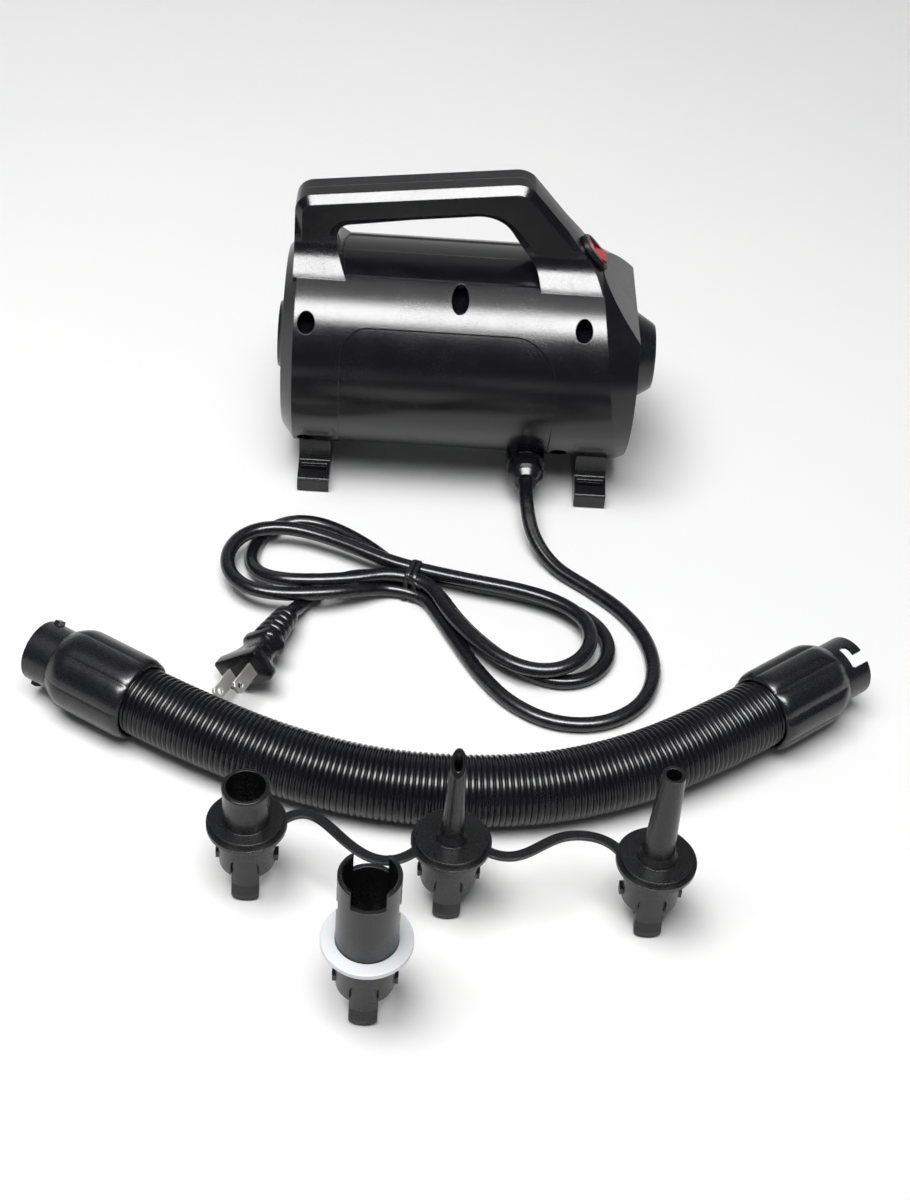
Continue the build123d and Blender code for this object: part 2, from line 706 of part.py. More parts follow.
def cord_tie():
    """The wire tie round the hank's middle, with its twisted ends."""
    band = extrude(RectangleRounded(29, 18.4, 4), 2.2, both=True)
    hole = extrude(RectangleRounded(27.2, 16.6, 3.2), 4, both=True)
    loop = Pos(0, 0, 9.2) * Rot(90, 0, 0) * Rot(0, 90, 0) * (band - hole)
    ends = Pos(0, -8, 19.5) * Rot(35, 0, 0) * Cylinder(1.3, 9)
    return Pos(TIE_SPOT[0] + 2, TIE_SPOT[1] - 2, 0) * Rot(0, 0, TIE_TURN) * (loop + ends)


def cord_gland():
    """The lead's tapered strain relief, with a flange held in the casing's boss."""
    body = along_y(6, -41.5, -30, GLAND_X, GLAND_Z) + along_y(7.8, -36.9, -33.1, GLAND_X, GLAND_Z)
    tip = -41.05 - GLAND_TIP_Y
    profile = [(0, 0), (GLAND_R, 0), (GLAND_R, 8), (GLAND_R - 1.2, 10.2), (5.6, tip), (0, tip)]
    face = make_face(Plane.XY * Polyline(*profile, close=True))
    collar = revolve(face, Axis.Y)
    collar = Pos(GLAND_X, -41.05, GLAND_Z) * Rot(180, 0, 0) * collar
    return body + collar


def inner_lead():
    """The lead inside the casing, from the gland to the clamp."""
    return along_y(CORD_D / 2, -30, -11, GLAND_X, GLAND_Z) + along_y(
        2.2, -11.1, 4, GLAND_X, GLAND_Z)


def cord_clamp():
    """The saddle that clamps the lead inside the casing."""
    saddle = block(GLAND_X - 7, GLAND_X + 9, -20, -13, GLAND_Z + 0.1, GLAND_Z + 6)
    return saddle - along_y(CORD_D / 2, -31, -10, GLAND_X, GLAND_Z)


def at_plug(shape):
    """Places a shape made with the cord's end at the origin and the blades along +X."""
    turn = Rot(0, 0, PLUG_HEADING) * Rot(0, -PLUG_RISE, 0) * Rot(PLUG_ROLL, 0, 0)
    return Pos(*TAIL_ROUTE[-1]) * turn * shape


def plug_relief():
    """The ribbed, tapered strain relief at the plug."""
    parts = []
    ribs = 5
    for index in range(ribs):
        x = index * 4.2
        radius = 4.9 + index * 0.5
        parts.append(Pos(x + 1.3, 0, 0) * Rot(0, 90, 0) * Cylinder(radius + 0.7, 2.6))
    core = Pos(10.5, 0, 0) * Rot(0, 90, 0) * Cone(4.6, 6.6, 21)
    return at_plug(fused([core] + parts))


def plug_body():
    """The plug: a collar, a waist and a flared block for the fingers."""
    outline = [(21, 17.4, 13), (22, 19.4, 14), (25.6, 19.4, 14), (26.8, 15, 11.2),
               (32, 15.4, 11.4), (38, 23, 14.6), (40.4, 26, 16), (45, 26, 16)]
    sections = [Plane.YZ.offset(x) * RectangleRounded(wide, deep, 3.4)
                for x, wide, deep in outline]
    return at_plug(loft(sections, ruled=True))


def plug_blades():
    """The two flat blades, each with its hole."""
    blades = []
    for y in (-6.35, 6.35):
        blade = Pos(53, y, 0) * Box(16, 1.5, 6.35)
        blade = chamfer(blade.edges().filter_by(Axis.Y).group_by(Axis.X)[-1], 1.4)
        hole = Pos(57.6, y, 0) * Rot(90, 0, 0) * Cylinder(1.6, 4)
        blades.append(at_plug(blade - hole))
    return Compound(children=blades)


# ---- hose -------------------------------------------------------------------------------------
def at_hose_end(shape, first):
    """Places a cuff made along +X, its open end away from the hose, on one end of the hose."""
    end = HOSE_ROUTE[0] if first else HOSE_ROUTE[-1]
    inner = HOSE_ROUTE[1] if first else HOSE_ROUTE[-2]
    heading = math.degrees(math.atan2(end[1] - inner[1], end[0] - inner[0]))
    return Pos(*end) * Rot(0, 0, heading) * shape


def cuff_body(bore_r):
    """The part that both cuffs share: a faceted grip, a shoulder and a spigot."""
    end = CUFF_L - CUFF_GRIP
    profile = [
        (-CUFF_GRIP, HOSE_D / 2 + 0.6), (-CUFF_GRIP, CUFF_R - 1.2), (-CUFF_GRIP + 2, CUFF_R),
        (end - 5, CUFF_R), (end, SPIGOT_R + 1.6), (end, SPIGOT_R),
        (end + SPIGOT_L - 0.6, SPIGOT_R), (end + SPIGOT_L, SPIGOT_R - 0.6),
        (end + SPIGOT_L, bore_r), (0.05, bore_r),
        (0.05, HOSE_D / 2 + 0.6),
    ]
    body = turned(profile, 0)
    flats = Rot(0, 90, 0) * extrude(RegularPolygon(CUFF_R - 0.35, 12, major_radius=False), 60,
                                    both=True)
    return body & flats


def hose_pump_cuff():
    """The cuff for the pump: its spigot carries two bayonet lugs."""
    lug_x = CUFF_L - CUFF_GRIP + GROOVE_L - 0.4 - LUG_L / 2
    lug = Pos(lug_x, 0, 0) * Rot(0, 90, 0) * Cylinder(LUG_R, LUG_L)
    lug = lug & Pos(lug_x, 0, 0) * Box(8, 5, 60)
    lug = lug - Rot(0, 90, 0) * Cylinder(SPIGOT_R - 0.5, 200)
    return at_hose_end(cuff_body(CUFF_BORE_R) + lug, True)


def hose_nozzle_cuff():
    """The cuff for the nozzles: its spigot has two open bayonet slots."""
    end = CUFF_L - CUFF_GRIP + SPIGOT_L
    entry = Pos(end - 4.5, 0, 0) * Box(9.2, 6, 60)
    leg = Pos(end - 6.85, 0, 0) * Box(4.5, 6, 60)
    tools = [Rot(30, 0, 0) * entry, Rot(17.5, 0, 0) * leg, Rot(5, 0, 0) * leg]
    return at_hose_end(cut(cuff_body(CUFF_BORE_R), tools), False)


# ---- nozzles and adapter ----------------------------------------------------------------------
def neck(flange_r):
    """The spigot and flange of every fitting; it stands on a tongue at the front and back."""
    body = upright(NECK_R, RIM_Z, FLANGE_Z)
    tongue = extrude(Plane.XZ * Pos(0, 17) * RectangleRounded(TONGUE_W, 34, 3), 30, both=True)
    body = body + (upright(NECK_R, 0, FLANGE_Z - 4) & tongue)
    arch = extrude(Plane.XZ * Pos(0, 13) * RectangleRounded(TONGUE_W + 0.2, 24, 5.4), 30, both=True)
    arch = arch + block(-TONGUE_W, TONGUE_W, -30, 30, 3, RIM_Z - 0.5)
    body = body - (arch & (upright(NECK_R + 3, 3, 30) - upright(NECK_R - 0.9, 2, 31)))
    toe = [(10, 0), (NECK_R - 0.4, 0), (NECK_R + 0.6, 1.2), (NECK_R + 0.6, 3.6), (10.3, 8.6),
           (10, 8.6)]
    toe = revolve(make_face(Plane.XZ * Polyline(*toe, close=True)), Axis.Z)
    body = body + (toe & tongue)
    body = body + upright(NECK_R + 1.5, FLANGE_Z - 3.4, FLANGE_Z - 1.9)
    body = body + upright(flange_r, FLANGE_Z + 0.2, FLANGE_Z + 2.4)
    body = body + upright(NECK_R, FLANGE_Z - 1, FLANGE_Z + 1)
    body = body - upright(NECK_BORE_R, -1, FLANGE_Z - 2)
    for side in (-1, 1):
        lug = Pos(side * NECK_R, 0, RIM_Z + 3) * Box(3.4, 4.6, 3.4)
        body = body + (lug & (upright(NECK_R + 1.3, 0, 30) - upright(NECK_BORE_R, -1, 30)))
    return body


def wide_nozzle():
    """The wide, slightly flared nozzle."""
    base = neck(14.6)
    profile = [(0, FLANGE_Z - 3), (9.5, FLANGE_Z - 3), (9.5, FLANGE_Z + 17),
               (9.7, FLANGE_Z + 20.4), (9.3, FLANGE_Z + 21), (0, FLANGE_Z + 21)]
    stem = revolve(make_face(Plane.XZ * Polyline(*profile, close=True)), Axis.Z)
    return base + stem - upright(8, -1, FLANGE_Z + 30)


def cone_stem(foot_r, tip_r, height, wall):
    """A tapering hollow stem on the flange."""
    z0 = FLANGE_Z
    outer = [(0, z0), (foot_r + 1.6, z0), (foot_r + 1.6, z0 + 4), (foot_r, z0 + 6),
             (tip_r, z0 + height), (0, z0 + height)]
    stem = revolve(make_face(Plane.XZ * Polyline(*outer, close=True)), Axis.Z)
    inner = [(0, z0 - 3), (foot_r - wall, z0 - 3), (tip_r - wall, z0 + height + 0.1),
             (0, z0 + height + 0.1)]
    bore = revolve(make_face(Plane.XZ * Polyline(*inner, close=True)), Axis.Z)
    return stem, bore


def tapered_nozzle():
    """The tapered nozzle."""
    stem, bore = cone_stem(6.5, 4.6, 50, 1.5)
    return neck(14.6) + stem - bore


def pinch_nozzle():
    """The narrow nozzle for small valves, its tip cut at a slant."""
    stem, bore = cone_stem(4.8, 2.75, 51, 1.2)
    slant = Pos(0, 2.7, FLANGE_Z + 51) * Rot(61, 0, 0) * Pos(0, 0, 10) * Box(30, 30, 20)
    return neck(14.6) + stem - bore - slant


def nozzle_tether():
    """The flat strap that keeps the nozzles together: three rings and two wavy strips."""
    pieces = []
    spots = list(NOZZLE_SPOTS.values())
    for x, y in spots:
        pieces.append(upright(16.25, FLANGE_Z - 1.8, FLANGE_Z + 0.1, x, y))
    waves = [
        [(spots[0][0] + 14, spots[0][1] + 2), (-58, -296), (-44, -307), (-30, -317),
         (spots[1][0] - 14, spots[1][1] - 6)],
        [(spots[1][0] + 14, spots[1][1] - 4), (28, -311), (44, -301), (58, -300),
         (spots[2][0] - 14, spots[2][1] + 3)],
    ]
    for wave in waves:
        strip = extrude(trace(Spline(*wave), 4.0), 1.6)
        pieces.append(Pos(0, 0, FLANGE_Z - 1.6) * strip)
    strap = fused(pieces)
    for x, y in spots:
        strap = strap - upright(NECK_R + 0.1, 0, FLANGE_Z + 5, x, y)
    return strap


def valve_adapter():
    """The bayonet adapter for boat and board valves: two prongs with side hooks."""
    z0 = FLANGE_Z
    top = z0 + 42
    body = neck(14.6) + upright(12, z0, top) - upright(10.2, z0 - 2.5, top + 1)
    body = chamfer(body.edges().group_by(Axis.Z)[-1], 0.5)
    notch = block(-6.5, 6.5, -20, 20, top - 8.5, top + 1)
    body = body - notch
    for side in (-1, 1):
        hook = block(min(side * 8, side * 14), max(side * 8, side * 14), -1.8, 1.8, top - 9, top - 5)
        body = body - hook
        band = Pos(side * 12.6, 0, z0 + 23) * Rot(0, 0, 0) * Rot(38, 0, 0) * Box(2.6, 3, 30)
        body = body - (band & (upright(13, z0, top) - upright(11.2, z0, top)))
    return body


def adapter_gasket():
    """The soft washer on the adapter's flange."""
    ring = upright(GASKET_R, FLANGE_Z + 2.45, FLANGE_Z + 4.6) - upright(
        12.1, FLANGE_Z, FLANGE_Z + 10)
    return fillet(ring.edges().group_by(Axis.Z)[-1], 0.5)


# ---- the whole set ----------------------------------------------------------------------------
outer_shape = casing_skin()
inner_room = casing_room()
NODES["near_casing_half"] = casing_half(outer_shape, inner_room, True)
NODES["far_casing_half"] = casing_half(outer_shape, inner_room, False)
NODES["casing_screws"] = casing_screws()
NODES["outlet_port"] = port(RIGHT_X, OUTLET_X, 1, 5.6)
NODES["intake_port"] = port(LEFT_X, INTAKE_X, -1, 2.0)
NODES["intake_grille"] = intake_grille()
NODES["left_foot"] = foot(FOOT_XS[0])
NODES["right_foot"] = foot(FOOT_XS[1])
NODES["foot_pads"] = foot_pads()
NODES["foot_screws"] = foot_screws()
NODES["switch_bezel"] = switch_bezel()
NODES["switch_rocker"] = switch_rocker()
NODES["switch_terminals"] = switch_terminals()
NODES["field_core"] = field_core()
NODES["field_coils"] = field_coils()
NODES["front_motor_bracket"] = end_bracket(CORE_X[0], -46, -1, 16)
NODES["rear_motor_bracket"] = end_bracket(CORE_X[1], 45, 1, 16)
NODES["front_rubber_ring"] = rubber_ring(RIB_XS[0])
NODES["rear_rubber_ring"] = rubber_ring(RIB_XS[1])
NODES["front_bush"] = bush(-46, -36)
NODES["rear_bush"] = bush(35, 45)
NODES["shaft"] = shaft()
NODES["armature_core"] = armature_core()
NODES["armature_windings"] = armature_windings()
NODES["commutator"] = commutator()
NODES["impeller"] = impeller()
NODES["impeller_nut"] = impeller_nut()
NODES["diffuser"] = diffuser()
NODES["fan_shroud"] = fan_shroud()
for side, word in ((1, "upper"), (-1, "lower")):
    NODES[word + "_brush_holder"] = brush_holder(side)
    NODES[word + "_brush"] = brush(side)
    NODES[word + "_brush_spring"] = brush_spring(side)
NODES["suppressor"] = suppressor()
NODES["cord_gland"] = cord_gland()
NODES["inner_lead"] = inner_lead()
NODES["cord_clamp"] = cord_clamp()
NODES["cord_lead"] = tube("lead", LEAD_ROUTE, CORD_D)
NODES["cord_hank"] = hank()
NODES["cord_tie"] = cord_tie()
NODES["cord_tail"] = tube("tail", TAIL_ROUTE, CORD_D)
NODES["plug_relief"] = plug_relief()
NODES["plug_body"] = plug_body()
NODES["plug_blades"] = plug_blades()
NODES["hose_tube"] = tube("hose", HOSE_ROUTE, HOSE_D, HOSE_BORE_R * 2)
NODES["hose_pump_cuff"] = hose_pump_cuff()
NODES["hose_nozzle_cuff"] = hose_nozzle_cuff()
for word, build in (("wide", wide_nozzle), ("pinch", pinch_nozzle), ("tapered", tapered_nozzle)):
    NODES[word + "_nozzle"] = Pos(*NOZZLE_SPOTS[word]) * build()
NODES["nozzle_tether"] = nozzle_tether()
NODES["valve_adapter"] = Pos(*ADAPTER_SPOT) * valve_adapter()
NODES["adapter_gasket"] = Pos(*ADAPTER_SPOT) * adapter_gasket()

os.makedirs("parts", exist_ok=True)
for name, solid in NODES.items():
    export_step(Pos(0, PUMP_Y, 0) * solid, "parts/" + name + ".step")
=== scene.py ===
import json
import math

import bmesh
import bpy
from mathutils import Matrix, Vector


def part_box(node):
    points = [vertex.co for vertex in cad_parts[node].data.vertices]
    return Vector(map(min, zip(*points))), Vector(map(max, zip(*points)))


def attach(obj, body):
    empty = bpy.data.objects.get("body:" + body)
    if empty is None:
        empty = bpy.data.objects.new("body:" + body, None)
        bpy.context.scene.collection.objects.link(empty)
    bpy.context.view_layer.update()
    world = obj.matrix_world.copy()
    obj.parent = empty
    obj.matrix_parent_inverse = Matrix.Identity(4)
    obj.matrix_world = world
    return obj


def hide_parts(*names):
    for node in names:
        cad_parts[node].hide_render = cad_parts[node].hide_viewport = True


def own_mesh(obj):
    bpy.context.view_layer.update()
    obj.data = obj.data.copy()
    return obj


# Electric air mattress pump with its lead, hose, nozzles and valve adapter. Metres throughout.
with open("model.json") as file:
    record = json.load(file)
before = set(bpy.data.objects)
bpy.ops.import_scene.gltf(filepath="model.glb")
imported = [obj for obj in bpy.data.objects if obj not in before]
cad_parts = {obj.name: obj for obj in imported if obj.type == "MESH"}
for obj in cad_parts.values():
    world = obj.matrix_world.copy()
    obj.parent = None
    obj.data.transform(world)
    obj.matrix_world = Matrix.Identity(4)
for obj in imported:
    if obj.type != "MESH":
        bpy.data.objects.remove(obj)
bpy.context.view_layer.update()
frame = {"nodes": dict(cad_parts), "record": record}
nodes = frame["nodes"]
scene = bpy.context.scene
MM = 0.001


def link(name, data):
    """A new object in the scene."""
    piece = bpy.data.objects.new(name, data)
    scene.collection.objects.link(piece)
    return piece


# ---- camera -------------------------------------------------------------------------------
lens = bpy.data.cameras.new("camera")
lens.lens = 55.3
lens.sensor_width = 36.0
lens.clip_start = 0.05
lens.clip_end = 20.0
camera = link("camera", lens)
camera.location = (-0.026, -0.620, 0.604)
camera.rotation_euler = (math.radians(47.3), math.radians(-3.6), math.radians(1.0))
scene.camera = camera
scene.view_settings.view_transform = "Standard"


# ---- lines of the lead and the hose ----------------------------------------------------------
CORD_D = 0.007
CORD_Z = 0.0036           # height of the lead's middle where it lies on the floor
HOSE_D = 0.031
RIB_PITCH = 0.0025
LEAD_ROUTE = [
    (0.0340, 0.1080, 0.0175),
    (0.0340, 0.0910, 0.0175),
    (0.0380, 0.0740, 0.0100),
    (0.0490, 0.0590, 0.0042),
    (0.0650, 0.0470, CORD_Z),
    (0.0810, 0.0320, CORD_Z),
    (0.0920, 0.0130, CORD_Z),
    (0.0950, -0.0100, CORD_Z),
    (0.0875, -0.0315, CORD_Z),
    (0.0690, -0.0450, CORD_Z),
    (0.0460, -0.0460, CORD_Z),
    (0.0260, -0.0345, CORD_Z),
    (0.0120, -0.0160, CORD_Z),
    (0.0020, 0.0030, CORD_Z),
    (-0.0065, 0.0200, CORD_Z),
]
TAIL_ROUTE = [
    (-0.0675, 0.0305, CORD_Z),
    (-0.0715, 0.0230, 0.0052),
    (-0.0753, 0.0145, 0.0079),
    (-0.0780, 0.0080, 0.0109),
]
HOSE_ROUTE = [
    (-0.153, -0.0510, 0.0190),
    (-0.103, -0.0800, 0.0190),
    (-0.045, -0.0975, 0.0156),
    (0.007, -0.1010, 0.0156),
    (0.056, -0.0930, 0.0156),
    (0.107, -0.0705, 0.0190),
    (0.153, -0.0350, 0.0190),
]
TIE = Vector((-0.020, 0.043, 0.0))
TIE_TURN = math.radians(-15)
ALONG = Vector((math.cos(TIE_TURN), math.sin(TIE_TURN), 0))
ACROSS = Vector((-math.sin(TIE_TURN), math.cos(TIE_TURN), 0))
BESIDE = 0.0074           # one turn of lead beside another at the tie
UPPER_Z = 0.00985         # a turn that lies in the groove between two others
PASS_REACH = 0.0105       # a turn's pass through the tie reaches this far on each side
LOBE_SWELL = 1.7          # how late a lobe of the hank swells
LOBE_PEAK = 0.677         # close to the greatest value of sin(2 pi s) * sin(pi s) ** LOBE_SWELL
PLUG_HEADING = math.radians(248)
PLUG_RISE = math.radians(3)
PLUG_ROLL = math.radians(38)

# The hose's cuffs are drawn in millimetres along x, with the hose's end at 0.
SPIGOT_R = 14.0
SPIGOT_WALL = 1.5
CUFF_LOBES = 8
CUFF_TURN = math.radians(16)
LUG_TURN = math.radians(40)
SLOT_TURNS = (120, 300)   # where the bayonet slots stand round the spigot, in degrees


def height_at(share, stops):
    """The height at a share of a lobe, easing from stop to stop."""
    for (from_share, from_z), (to_share, to_z) in zip(stops, stops[1:]):
        if share <= to_share:
            step = (share - from_share) / (to_share - from_share)
            step = step * step * (3 - 2 * step)
            return from_z + (to_z - from_z) * step
    return stops[-1][1]


def lobe(reach, half, heading, beside, stops):
    """One turn of a lobe of the hank: out from the tie along heading and back, clockwise."""
    steps = 16
    turn = Matrix.Rotation(math.radians(heading), 3, "Z")
    points = []
    for index in range(3, steps - 2):
        share = index / steps
        out = math.sin(math.pi * share)
        width = half / LOBE_PEAK * math.sin(2 * math.pi * share) * out ** LOBE_SWELL
        shift = (beside[0] + (beside[1] - beside[0]) * share) * (1 - out * out)
        place = TIE + turn @ Vector((reach * out * out, width, 0)) + shift * ACROSS
        place.z = height_at(share, stops)
        points.append(tuple(place))
    return points


def tie_pass(way, beside, z):
    """The two points of a turn where it runs through the tie, way +1 to the right, -1 to the left."""
    points = []
    for side in (-way, way):
        along = PASS_REACH * side
        if side > 0:
            # The passes nearer the front end a little short on the right.
            along -= 0.3 * max(0.0, -beside)
        place = TIE + along * ALONG + beside * ACROSS
        points.append((place.x, place.y, z))
    return points


def lead_line():
    """The whole lead: gland, right side, four turns of the hank through its tie, tail, plug."""
    left_high = lobe(0.091, 0.0245, 177.5, (-BESIDE, BESIDE / 2),
                     [(0, CORD_Z), (0.3, 0.0122), (0.5, 0.0109), (0.62, 0.0109), (1, UPPER_Z)])
    right_high = lobe(0.096, 0.0245, -32.5, (BESIDE / 2, -BESIDE / 2),
                      [(0, UPPER_Z), (0.5, 0.0108), (1, UPPER_Z)])
    left_low = lobe(0.082, 0.0260, 165.5, (-BESIDE / 2, BESIDE),
                    [(0, 0.0099), (0.27, 0.0114), (0.5, 0.0037), (1, CORD_Z)])
    right_low = lobe(0.104, 0.0250, -29.0, (BESIDE, 0.0), [(0, CORD_Z), (1, CORD_Z)])
    inner = [(TIE.x + x, TIE.y + y, CORD_Z)
             for x, y in ((-0.0225, 0.0036), (-0.0335, 0.0005), (-0.0420, -0.0060))]
    return (LEAD_ROUTE
            + tie_pass(-1, -BESIDE, CORD_Z) + left_high
            + tie_pass(1, BESIDE / 2, UPPER_Z) + right_high
            + tie_pass(-1, -BESIDE / 2, UPPER_Z) + left_low
            + tie_pass(1, BESIDE, CORD_Z) + right_low
            + tie_pass(-1, 0.0, CORD_Z) + inner + TAIL_ROUTE)


def nurbs(name, points):
    """A curve of one open NURBS spline with these control points."""
    data = bpy.data.curves.new(name, "CURVE")
    data.dimensions = "3D"
    spline = data.splines.new("NURBS")
    spline.points.add(len(points) - 1)
    for point, place in zip(spline.points, points):
        point.co = (*place, 1.0)
        point.radius = CORD_D / 2
    spline.order_u = 3
    spline.use_endpoint_u = True
    spline.resolution_u = 12
    return link(name, data)


def drawn_line(piece):
    """The points that a curve without a bevel draws, in order, and the distance to each."""
    mesh = bpy.data.meshes.new_from_object(piece)
    line = [vertex.co.copy() for vertex in mesh.vertices]
    bpy.data.meshes.remove(mesh)
    reach = [0.0]
    for before, after in zip(line, line[1:]):
        reach.append(reach[-1] + (after - before).length)
    return line, reach


def along_line(line, reach, distance):
    """Place and direction at a distance along a drawn line."""
    last = len(line) - 2
    index = 0
    while index < last and reach[index + 1] < distance:
        index += 1
    step = (distance - reach[index]) / (reach[index + 1] - reach[index])
    here = line[index].lerp(line[index + 1], min(max(step, 0.0), 1.0))
    before = line[max(index - 1, 0)]
    after = line[min(index + 2, last + 1)]
    return here, (after - before).normalized()


# ---- mesh helpers -----------------------------------------------------------------------------
def finished_mesh(name, mesh, smooth_deg=35.0):
    """A mesh object from a bmesh, smooth but for edges sharper than smooth_deg."""
    bmesh.ops.remove_doubles(mesh, verts=mesh.verts, dist=1e-6)
    bmesh.ops.recalc_face_normals(mesh, faces=mesh.faces)
    for edge in mesh.edges:
        edge.smooth = edge.calc_face_angle(0.0) < math.radians(smooth_deg)
    for face in mesh.faces:
        face.smooth = True
    data = bpy.data.meshes.new(name)
    mesh.to_mesh(data)
    mesh.free()
    return link(name, data)


def add_rings(mesh, rings, loop=False):
    """Skins rings of points. A loop joins the last ring to the first, else both ends are capped."""
    made = [[mesh.verts.new(place) for place in ring] for ring in rings]
    count = len(made[0])
    pairs = list(zip(made, made[1:]))
    if loop:
        pairs.append((made[-1], made[0]))
    for first, second in pairs:
        for index in range(count):
            after = (index + 1) % count
            mesh.faces.new((first[index], first[after], second[after], second[index]))
    if not loop:
        mesh.faces.new(made[0])
        mesh.faces.new(made[-1])


def ring_round_x(x, radius_at, count):
    """A ring of points round the x axis, its radius given for each angle."""
    ring = []
    for index in range(count):
        angle = 2 * math.pi * index / count
        radius = radius_at(angle)
        ring.append(Vector((x, radius * math.cos(angle), radius * math.sin(angle))))
    return ring


def rounded_section(x, width, depth, corner, steps=6):
    """A rounded rectangle across the x axis."""
    ring = []
    for quarter, (side_y, side_z) in enumerate(((1, 1), (-1, 1), (-1, -1), (1, -1))):
        centre_y = side_y * (width / 2 - corner)
        centre_z = side_z * (depth / 2 - corner)
        for index in range(steps + 1):
            angle = math.pi / 2 * (quarter + index / steps)
            ring.append(Vector((x, centre_y + corner * math.cos(angle),
                                centre_z + corner * math.sin(angle))))
    return ring


def add_cut_sleeve(mesh, radius, wall, x_start, x_end, across, around, is_open):
    """A thin sleeve round the x axis, made of cells, some of which is_open(x, angle) leaves out."""
    solid = {}
    for row in range(across):
        for column in range(around):
            x = x_start + (x_end - x_start) * (row + 0.5) / across
            angle = 2 * math.pi * (column + 0.5) / around
            solid[row, column] = not is_open(x, angle)
    corners = {}

    def corner(row, column, inside):
        key = (row, column % around, inside)
        if key not in corners:
            angle = 2 * math.pi * column / around
            reach = radius - wall if inside else radius
            x = x_start + (x_end - x_start) * row / across
            corners[key] = mesh.verts.new((x, reach * math.cos(angle), reach * math.sin(angle)))
        return corners[key]

    for (row, column), filled in solid.items():
        if not filled:
            continue
        around_cell = [(row, column), (row + 1, column), (row + 1, column + 1), (row, column + 1)]
        mesh.faces.new([corner(*spot, False) for spot in around_cell])
        mesh.faces.new([corner(*spot, True) for spot in reversed(around_cell)])
        beside = [(row, column - 1), (row + 1, column), (row, column + 1), (row - 1, column)]
        for side, (near_row, near_column) in enumerate(beside):
            if solid.get((near_row, near_column % around), False):
                continue
            start, end = around_cell[side], around_cell[(side + 1) % 4]
            mesh.faces.new((corner(*start, False), corner(*start, True),
                            corner(*end, True), corner(*end, False)))


def ease(value, low, high):
    """0 below low, 1 above high, and smooth between them."""
    share = min(max((value - low) / (high - low), 0.0), 1.0)
    return share * share * (3 - 2 * share)


def soften_edges(piece, width, segments=2):
    """A small bevel on a piece's sharp edges."""
    bevel = piece.modifiers.new("edges", "BEVEL")
    bevel.width = width
    bevel.segments = segments
    bevel.limit_method = "ANGLE"
    bevel.angle_limit = math.radians(40)
    bevel.harden_normals = False
    return piece


# ---- the lead ------------------------------------------------------------------------------
def lead_section():
    """The outline of a lead of radius 1: two cores under one sheath, a shallow valley between."""
    data = bpy.data.curves.new("lead_section", "CURVE")
    data.dimensions = "2D"
    spline = data.splines.new("POLY")
    count = 40
    valley_half = 0.42
    valley_depth = 0.07
    flattening = 0.06
    spline.points.add(count - 1)
    for index, point in enumerate(spline.points):
        angle = 2 * math.pi * index / count
        valley = max(0.0, 1 - (math.cos(angle) / valley_half) ** 2) ** 2
        radius = 1 - flattening * math.sin(angle) ** 2 - valley_depth * valley
        point.co = (radius * math.cos(angle), radius * math.sin(angle), 0, 1)
    spline.use_cyclic_u = True
    outline = link("lead_section", data)
    outline.hide_render = True
    outline.hide_viewport = True
    return outline


lead = nurbs("mains_lead", lead_line())
lead_path, lead_reach = drawn_line(lead)
lead.data.bevel_mode = "OBJECT"
lead.data.bevel_object = lead_section()
lead.data.use_fill_caps = True


def lead_tie():
    """A wire tie: two flat turns round the hank's middle and two ends twisted together."""
    mesh = bmesh.new()
    hull = []
    # The outer strands that the wire goes round: place, and the arc of each it covers in degrees.
    strands = [(-BESIDE, CORD_Z, -153, -90), (BESIDE, CORD_Z, -90, 27),
               (BESIDE / 2, UPPER_Z, 27, 90), (-BESIDE / 2, UPPER_Z, 90, 207)]
    clear = 0.0004
    half_thick = 0.00035
    half_wide = 0.0012
    for y, z, start, end in strands:
        for step in range(9):
            angle = math.radians(start + (end - start) * step / 8)
            hull.append((y, z, math.cos(angle), math.sin(angle)))
    for offset in (-0.0013, 0.0015):
        rings = []
        for index, (y, z, out_y, out_z) in enumerate(hull):
            sway = offset + 0.0007 * math.sin(2 * math.pi * index / len(hull) + offset * 900)
            ring = []
            for step in range(10):
                angle = 2 * math.pi * step / 10
                lift = CORD_D / 2 + clear + half_thick * math.sin(angle)
                width = half_wide * math.cos(angle)
                place = TIE + (sway + width) * ALONG + (y + out_y * lift) * ACROSS
                ring.append(place + Vector((0, 0, max(z + out_z * lift, 0.0002))))
            rings.append(ring)
        add_rings(mesh, rings, loop=True)
    foot = TIE - 0.0070 * ACROSS + Vector((0, 0, 0.0125))
    reach = (Vector((0, 0, 1)) * 0.55 - ACROSS * 0.75 + ALONG * 0.35).normalized()
    side = reach.cross(ALONG).normalized()
    other = reach.cross(side)
    twists = 3.0
    part_at = 0.72            # the share of their length where the two ends part
    for phase in (0.0, math.pi):
        rings = []
        steps = 44
        for index in range(steps + 1):
            share = index / steps
            turn = phase + min(share, part_at) * 2 * math.pi * twists
            spread = 0.0006 + 0.0035 * ease(share, part_at, 1.0)
            centre = foot + reach * (0.011 * share)
            centre = centre + (side * math.cos(turn) + other * math.sin(turn)) * spread
            ring = []
            for step in range(8):
                angle = 2 * math.pi * step / 8
                ring.append(centre + side * 0.00065 * math.cos(angle)
                            + other * 0.00055 * math.sin(angle))
            rings.append(ring)
        add_rings(mesh, rings)
    return finished_mesh("wire_tie", mesh, 60)


at_plug = (Matrix.Translation(TAIL_ROUTE[-1]) @ Matrix.Rotation(PLUG_HEADING, 4, "Z")
           @ Matrix.Rotation(-PLUG_RISE, 4, "Y") @ Matrix.Rotation(PLUG_ROLL, 4, "X"))


